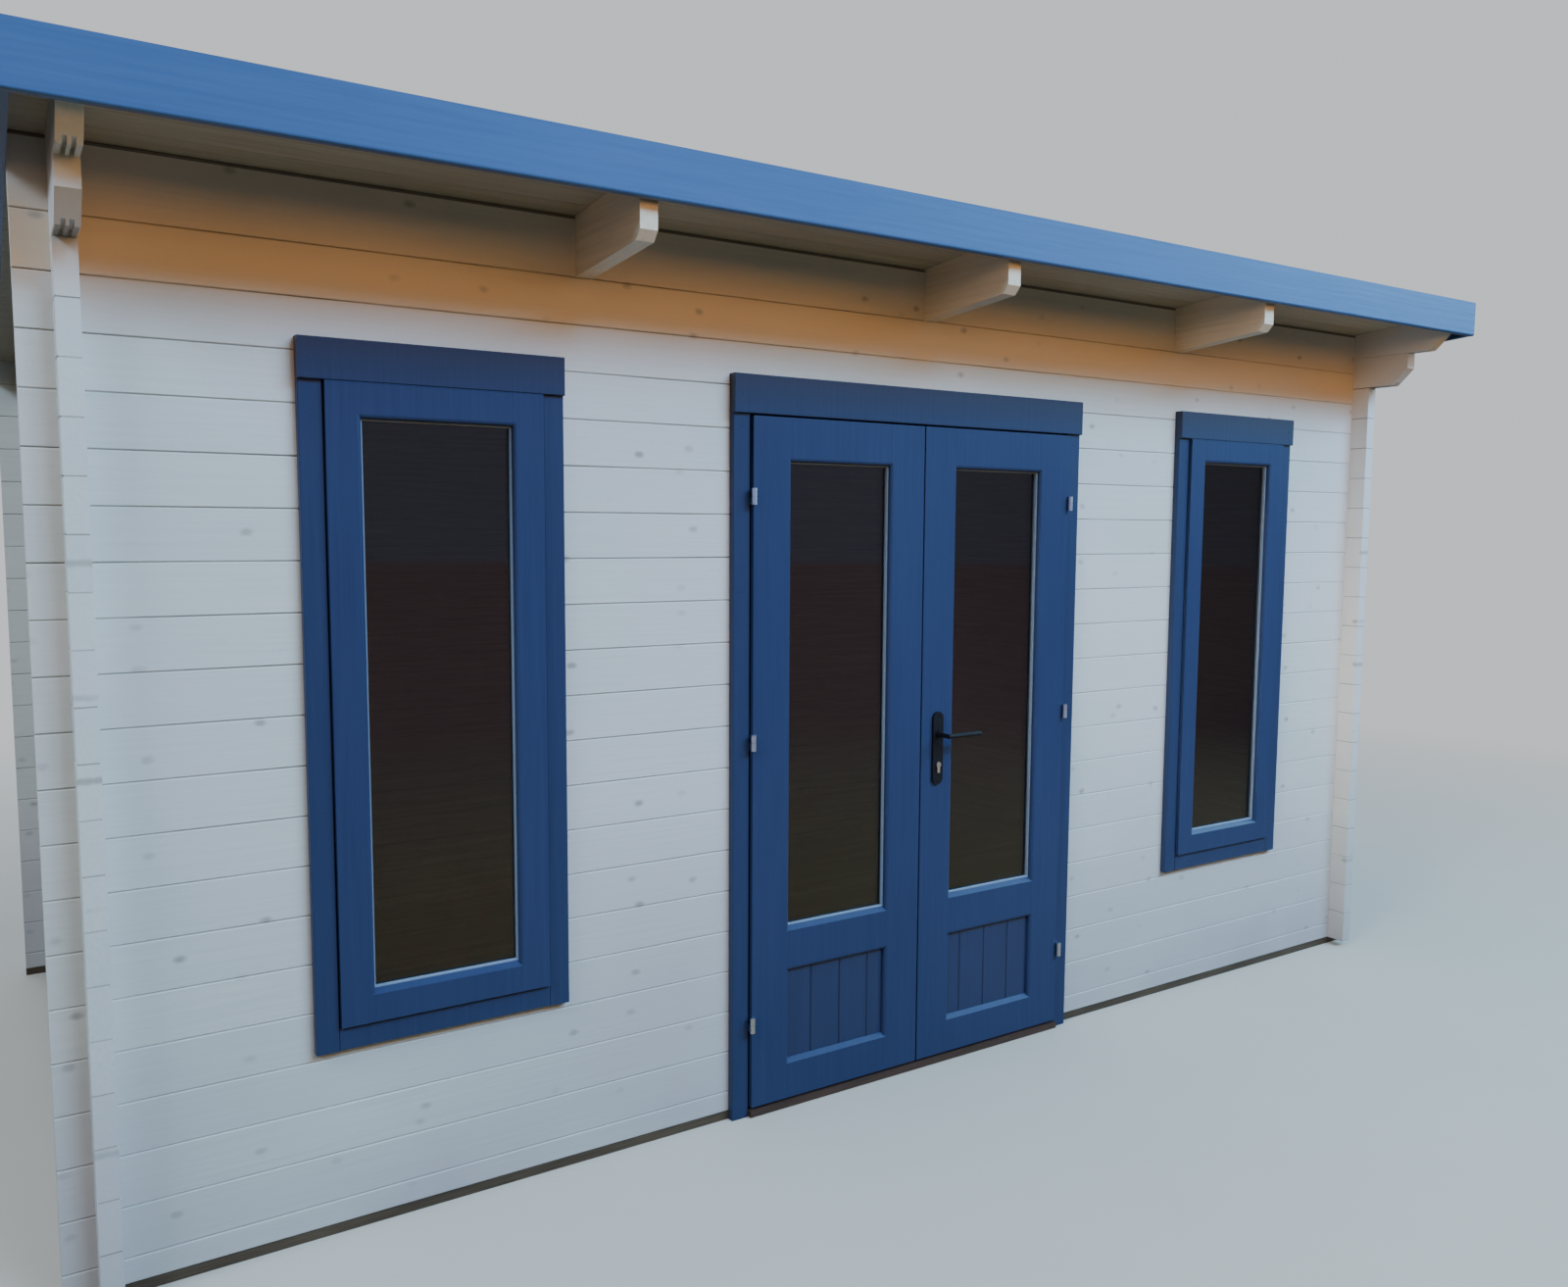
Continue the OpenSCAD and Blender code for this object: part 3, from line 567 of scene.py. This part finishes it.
for side in ("left", "right"):
    dress(joinery, f"{side}_window_frame", f"{side}_window_sash")
    dress(trim_paint, f"{side}_window_trim")
    low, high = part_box(f"{side}_window_sash")
    strip = start_piece(
        "head_strip", bpy.ops.mesh.primitive_cube_add, size=1,
        location=((low.x + high.x) / 2, low.y + strip_setback, high.z + head_gap / 2),
        scale=(high.x - low.x, strip_depth, head_gap))
    pick(strip, "EDGE", lambda edge: all(vertex.co.y < low.y + 0.005 for vertex in edge.verts))
    bpy.ops.mesh.bevel(offset=0.0009, segments=2)
    bpy.ops.object.mode_set(mode="OBJECT")
    finished(joined(f"{side}_window_head_strip", [strip]), joinery, "root")
    low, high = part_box(f"{side}_window_trim")
    board_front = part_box(f"{side}_window_frame")[0].y - trim_depth
    left_row, right_row = low.x + trim_show / 2, high.x - trim_show / 2
    spots = [(x, board_front, low.z + lowest_screw + screw_spacing * step)
             for x in (left_row, right_row) for step in range(4)]
    foot_row = (left_row + foot_screw_inset, (low.x + high.x) / 2, right_row - foot_screw_inset)
    spots += [(x, board_front, low.z + foot_screw) for x in foot_row]
    spots += [(x, low.y, high.z - head_screw_drop) for x in (left_row, right_row)]
    screws = copies_at(screw_head("screw"), f"{side}_window_screws", spots)
    finished(screws, joinery, "root")

# Glass: sealed double panes of 4 mm float glass in a groove of each sash and leaf. It is
# clear, and looks dark because the room behind it is.
glazed = ("left_window", "right_window", "left_door", "right_door")
glass_tint = (0.55, 0.54, 0.53, 1)
shadow_tint = (0.5, 0.5, 0.48, 1)
glass, tree, shader = new_material("pane_glass", 0.02)
shader.inputs["Base Color"].default_value = glass_tint
shader.inputs["Transmission Weight"].default_value = 1.0
shader.inputs["IOR"].default_value = 1.45
clear = tree.nodes.new("ShaderNodeBsdfTransparent")
clear.inputs["Color"].default_value = shadow_tint
rays = tree.nodes.new("ShaderNodeLightPath")
choice = tree.nodes.new("ShaderNodeMixShader")
join(tree, rays.outputs["Is Shadow Ray"], choice.inputs["Fac"])
join(tree, shader.outputs["BSDF"], choice.inputs[1])
join(tree, clear.outputs["BSDF"], choice.inputs[2])
join(tree, choice.outputs["Shader"], tree.nodes["Material Output"].inputs["Surface"])
dress(glass, *[f"{unit}_glass" for unit in glazed])

# Seals and spacers: blue-grey rubber beads hold each pane in front and behind, and a bar of
# pressed aluminium keeps its two sheets apart.
groove = 0.0117
sheet = 0.004
seal_wall = 0.004
seal_front = 0.009
seal_back = 0.006
bar_wall = 0.0105
bar_hidden = 0.009
seal_dark = (0.17, 0.24, 0.35)
seal_light = (0.27, 0.34, 0.46)
bar_dark = (0.5, 0.5, 0.51)
bar_light = (0.68, 0.68, 0.69)
seal_rubber = speckled("seal_rubber", 0.6, 220.0, seal_dark, seal_light, relief=0.0001)
spacer_metal = speckled("spacer_bar", 0.35, 500.0, bar_dark, bar_light, detail=1.0, metallic=1.0)


def ring_round_pane(name, low, high, wall, rounded):
    """A square ring round the Y axis, its free inner corner rounded in front (-1) or behind (1)."""
    middle = (low + high) / 2
    ring = start_piece(name, bpy.ops.mesh.primitive_cube_add, size=1,
                       location=middle, scale=high - low)
    pick(ring, "FACE", lambda face: abs(face.normal.y) > 0.9)
    bpy.ops.mesh.inset(thickness=wall, use_individual=True)
    bpy.ops.mesh.bridge_edge_loops()
    free = low.y if rounded < 0 else high.y
    reach = (high - low) / 2 - Vector((wall, 0, wall))
    near = 1e-5

    def at_free_corner(edge):
        return all(abs(vertex.co.y - free) < near
                   and abs(vertex.co.x - middle.x) < reach.x + near
                   and abs(vertex.co.z - middle.z) < reach.z + near for vertex in edge.verts)

    pick(ring, "EDGE", at_free_corner)
    bpy.ops.mesh.bevel(offset=wall * 0.45, segments=3)
    bpy.ops.mesh.select_all(action="SELECT")
    bpy.ops.mesh.normals_make_consistent(inside=False)
    bpy.ops.object.mode_set(mode="OBJECT")
    return ring


for unit in glazed:
    low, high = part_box(f"{unit}_glass")
    body = unit if unit.endswith("door") else "root"
    low, high = low + Vector((groove, 0, groove)), high - Vector((groove, 0, groove))
    outer = ring_round_pane("outer", low - Vector((0, seal_front, 0)),
                            Vector((high.x, low.y, high.z)), seal_wall, -1)
    inner = ring_round_pane("inner", Vector((low.x, high.y, low.z)),
                            high + Vector((0, seal_back, 0)), seal_wall, 1)
    finished(joined(f"{unit}_seals", [outer, inner]), seal_rubber, body)
    outwards = Vector((bar_hidden, -sheet, bar_hidden))
    bar = ring_round_pane("bar", low - outwards, high + outwards, bar_wall, -1)
    finished(joined(f"{unit}_spacer", [bar]), spacer_metal, body)

# Door frame, trim and threshold: the frame and its trim boards are painted like the windows.
# The threshold is an oiled reddish hardwood strip that sheds water below the leaves.
threshold_light = (0.085, 0.050, 0.040)
threshold_dark = (0.045, 0.028, 0.024)
lowest_door_screw = 0.15
door_head_drop = 0.05
door_head_inner = 0.2
dress(joinery, "door_frame")
dress(trim_paint, "door_trim")
dress(sawn_timber("threshold_timber", "X", threshold_light, threshold_dark, 0.5), "door_threshold")
low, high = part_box("door_trim")
board_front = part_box("door_frame")[0].y - trim_depth
left_row, right_row = low.x + trim_show / 2, high.x - trim_show / 2
spots = [(x, board_front, lowest_door_screw + screw_spacing * step)
         for x in (left_row, right_row) for step in range(5)]
head_row = (left_row, -door_head_inner, door_head_inner, right_row)
spots += [(x, low.y, high.z - door_head_drop) for x in head_row]
screws = copies_at(screw_head("screw"), "door_trim_screws", spots)
finished(screws, joinery, "root")

# Door leaves: stiles and rails in the same blue paint, with a panel of upright tongued and
# grooved boards in the lower part of each, a shade darker.
panel_blue = (0.0195, 0.0355, 0.094)
panel_worn = (0.025, 0.044, 0.114)
dress(joinery, "left_door_leaf", "right_door_leaf")
dress(board_paint("panel_paint", "Z", panel_blue, panel_worn, 0.3),
      "left_door_panel", "right_door_panel")

# Hinges: lift-off hinges of zinc-plated steel with a bluish passivated finish, their pins in
# the frame and their barrels on the leaves.
zinc_dark = (0.55, 0.64, 0.80)
zinc_light = (0.66, 0.75, 0.92)
zinc, tree, shader = new_material("zinc_plate", 0.32, metallic=1.0)
spangle = spread(tree, noise(tree, place_of(tree), 260.0), 0.35, 0.65)
join(tree, blend_of(tree, spangle, zinc_dark, zinc_light), shader.inputs["Base Color"])
dress(zinc, "hinge_pins", "left_hinge_barrels", "right_hinge_barrels")

# Handle: long plates and levers on both faces of the right leaf, powder coated black, each
# plate held by a screw at its head and foot.
coat_dark = (0.005, 0.005, 0.008)
coat_light = (0.012, 0.012, 0.016)
black = speckled("black_coat", 0.5, 1500.0, coat_dark, coat_light,
                 detail=1.0, relief=0.0001, gloss=0.22)
dress(black, "handle_plates", "door_lever")
plate_low, plate_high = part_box("handle_plates")
plate_middle = (plate_low.x + plate_high.x) / 2
screw_margin = 0.012
heads = []
for y, facing in ((plate_low.y, -1), (plate_high.y, 1)):
    spots = [(plate_middle, y, z) for z in (plate_low.z + screw_margin, plate_high.z - screw_margin)]
    heads.append(copies_at(screw_head("screw", facing), "plate_screws", spots))
finished(joined("handle_screws", heads), black, "right_door")

# Lock: a cylinder of satin nickel below the lever, through both plates. On each of its faces a
# thin dark piece stands for the key slot, painted shade for its hollow.
nickel_dark = (0.5, 0.49, 0.46)
nickel_light = (0.7, 0.68, 0.65)
keyway_dark = (0.006, 0.006, 0.006)
keyway_light = (0.02, 0.018, 0.016)
nickel = speckled("satin_nickel", 0.3, 300.0, nickel_dark, nickel_light,
                  stretch=(1, 1, 40), metallic=1.0)
dress(nickel, "lock_cylinder")
keyway = speckled("keyway_shadow", 0.7, 900.0, keyway_dark, keyway_light, detail=1.0)
lock_low, lock_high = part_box("lock_cylinder")
key_slot_size = (0.0011, 0.0006, 0.0062)
key_slot_drop = 0.0085
key_slots = []
for y in (lock_low.y, lock_high.y):
    key_slot = start_piece(
        "key_slot", bpy.ops.mesh.primitive_cube_add, size=1,
        location=(plate_middle, y, lock_high.z - key_slot_drop), scale=key_slot_size)
    pick(key_slot, "EDGE", lambda edge: abs(edge.verts[0].co.y - edge.verts[1].co.y) > 1e-5)
    bpy.ops.mesh.bevel(offset=0.0004, segments=2)
    bpy.ops.object.mode_set(mode="OBJECT")
    key_slots.append(key_slot)
finished(joined("key_slots", key_slots), keyway, "right_door")

# Ground: a plain pale studio floor, wide enough for every view. Far out it turns into the
# pale backdrop, and it throws only a little warm light back up. In mirrors it shows darker
# reddish tones, painted reflections, and far out it glows.
backdrop = (0.72, 0.74, 0.76)
floor_dark = (0.65, 0.57, 0.48)
floor_light = (0.68, 0.60, 0.51)
floor_bounce = (0.13, 0.095, 0.05)
# Painted reflection: the tones that mirrors see in the floor, near and far.
floor_mirrored = (0.40, 0.27, 0.15)
far_bounce = (0.020, 0.016, 0.014)
far_mirrored = (0.38, 0.28, 0.32)
far_east_mirrored = (0.12, 0.10, 0.12)
floor_radius = 60
fade_start = 3.0
fade_end = 8.0
bpy.ops.object.select_all(action="DESELECT")
bpy.ops.mesh.primitive_circle_add(
    vertices=96, radius=floor_radius, fill_type="NGON", location=(0, 0, 0))
ground = bpy.context.object
ground.name = "studio_floor"
floor_paint, tree, shader = new_material("floor_paint", 0.9)
rays = tree.nodes.new("ShaderNodeLightPath").outputs
floor_tone = blend_of(tree, noise(tree, place_of(tree), 3.0, 3.0), floor_dark, floor_light)
floor_tone = blend_of(tree, rays["Is Diffuse Ray"], floor_tone, floor_bounce)
floor_tone = blend_of(tree, rays["Is Glossy Ray"], floor_tone, floor_mirrored)
join(tree, floor_tone, shader.inputs["Base Color"])
away = tree.nodes.new("ShaderNodeVectorMath")
away.operation = "LENGTH"
join(tree, place_of(tree), away.inputs[0])
distance = away.outputs["Value"]
eastward = spread(tree, maths(tree, "DIVIDE", axes_of(tree)["X"], distance), 0.6, 0.85)
far_tone = blend_of(tree, eastward, far_mirrored, far_east_mirrored)
far_tone = blend_of(tree, rays["Is Glossy Ray"], far_bounce, far_tone)
far_tone = blend_of(tree, rays["Is Camera Ray"], far_tone, backdrop)
glow = tree.nodes.new("ShaderNodeEmission")
join(tree, far_tone, glow.inputs["Color"])
faded = tree.nodes.new("ShaderNodeMixShader")
join(tree, spread(tree, distance, fade_start, fade_end), faded.inputs["Fac"])
join(tree, shader.outputs["BSDF"], faded.inputs[1])
join(tree, glow.outputs["Emission"], faded.inputs[2])
join(tree, faded.outputs["Shader"], tree.nodes["Material Output"].inputs["Surface"])
ground.data.materials.append(floor_paint)

# Sky: cool overhead and dim at the horizon, with more light from the west. What the panes
# and the paint mirror of it is a dark surround below, and a bright open side to the east.
zenith = (0.42, 0.52, 0.68)
horizon = (0.022, 0.018, 0.013)
west_low = (0.36, 0.28, 0.17)
west_high = (0.46, 0.58, 0.74)
surround = (0.33, 0.33, 0.46)
surround_east = (0.11, 0.11, 0.14)
open_east = (2.8, 5.4, 7.0)
world = bpy.data.worlds.new("soft_sky")
bpy.context.scene.world = world
world.use_nodes = True
tree = world.node_tree
sky = tree.nodes["Background"]
direction = tree.nodes.new("ShaderNodeTexCoord")
separate = tree.nodes.new("ShaderNodeSeparateXYZ")
join(tree, direction.outputs["Generated"], separate.inputs["Vector"])
east, up = separate.outputs["X"], separate.outputs["Z"]
rays = tree.nodes.new("ShaderNodeLightPath").outputs
height = spread(tree, up, 0.42, 0.95)
gradient = blend_of(tree, height, horizon, zenith)
west_tone = blend_of(tree, spread(tree, up, 0.25, 0.65), west_low, west_high)
gradient = blend_of(tree, spread(tree, east, -0.35, -0.9), gradient, west_tone)
mirrored = blend_of(tree, spread(tree, east, 0.6, 0.85), surround, surround_east)
open_side = product(tree, spread(tree, up, 0.12, 0.17), spread(tree, east, 0.3, 0.9))
mirrored = blend_of(tree, open_side, blend_of(tree, height, mirrored, zenith), open_east)
gradient = blend_of(tree, rays["Is Glossy Ray"], gradient, mirrored)
join(tree, blend_of(tree, rays["Is Camera Ray"], gradient, backdrop), sky.inputs["Color"])
sky.inputs["Strength"].default_value = 1.0

# Light: wide softboxes round the cabin. The cool one in front stands high, and the roof's
# overhang keeps it off the top logs. The warm one below it reaches them, as low evening light
# does, and a small warm one from the left picks out the corner at the right.
def softbox(name, place, target, size, power, colour, beam=math.pi):
    """An area light aimed at a point, which no mirror shows."""
    data = bpy.data.lights.new(name, "AREA")
    data.shape = "RECTANGLE"
    data.size, data.size_y = size
    data.energy = power
    data.color = colour
    data.spread = beam
    lamp = bpy.data.objects.new(name, data)
    bpy.context.scene.collection.objects.link(lamp)
    lamp.location = place
    aim = Vector(target) - Vector(place)
    lamp.rotation_euler = aim.to_track_quat("-Z", "Y").to_euler()
    lamp.visible_glossy = False
    lamp.visible_camera = False


softbox("cool_back", place=(-2.5, 9.0, 6.0), target=(0, 1.2, 1.2),
        size=(9.0, 3.0), power=420, colour=(0.62, 0.82, 1.0))
softbox("cool_side", place=(-8.5, -3.6, 7.0), target=(-1.5, -0.8, 1.6),
        size=(4.0, 2.5), power=510, colour=(0.60, 0.80, 1.0))
softbox("cool_key", place=(3.8, -8.0, 7.4), target=(0.9, -1, 1.7),
        size=(9.0, 2.2), power=1600, colour=(0.283, 0.632, 1.0))
softbox("warm_strip", place=(0.3, -5.0, 3.1), target=(0.1, -1, 1.9),
        size=(7.0, 1.3), power=80, colour=(1.0, 0.49, 0.13))
softbox("corner_light", place=(-4.6, -3.0, 2.0), target=(2.32, -1.22, 1.0),
        size=(0.8, 1.2), power=2.6, colour=(1.0, 0.91, 0.76), beam=math.radians(17))

# Camera: at the photograph's place, solved from the log joints. It looks a little down and
# across the front from the left, from about chest height.
focal_pixels = 1260.7
image_width = 1600
sensor_width = 36.0
turn = math.radians(33.051)
tilt = math.radians(-5.237)
roll = math.radians(0.335)
camera_place = (-2.3271, -3.9026, 1.6356)
forward = Vector((math.sin(turn) * math.cos(tilt), math.cos(turn) * math.cos(tilt), math.sin(tilt)))
level = Vector((math.cos(turn), -math.sin(turn), 0))
rise = level.cross(forward)
right = level * math.cos(roll) + rise * math.sin(roll)
top = rise * math.cos(roll) - level * math.sin(roll)
camera_data = bpy.data.cameras.new("camera")
camera_data.sensor_width = sensor_width
camera_data.lens = focal_pixels / image_width * sensor_width
camera_data.clip_start = 0.05
camera_data.clip_end = 200
camera = bpy.data.objects.new("camera", camera_data)
bpy.context.scene.collection.objects.link(camera)
turned = Matrix((right, top, -forward)).transposed().to_4x4()
camera.matrix_world = Matrix.Translation(camera_place) @ turned
bpy.context.scene.camera = camera
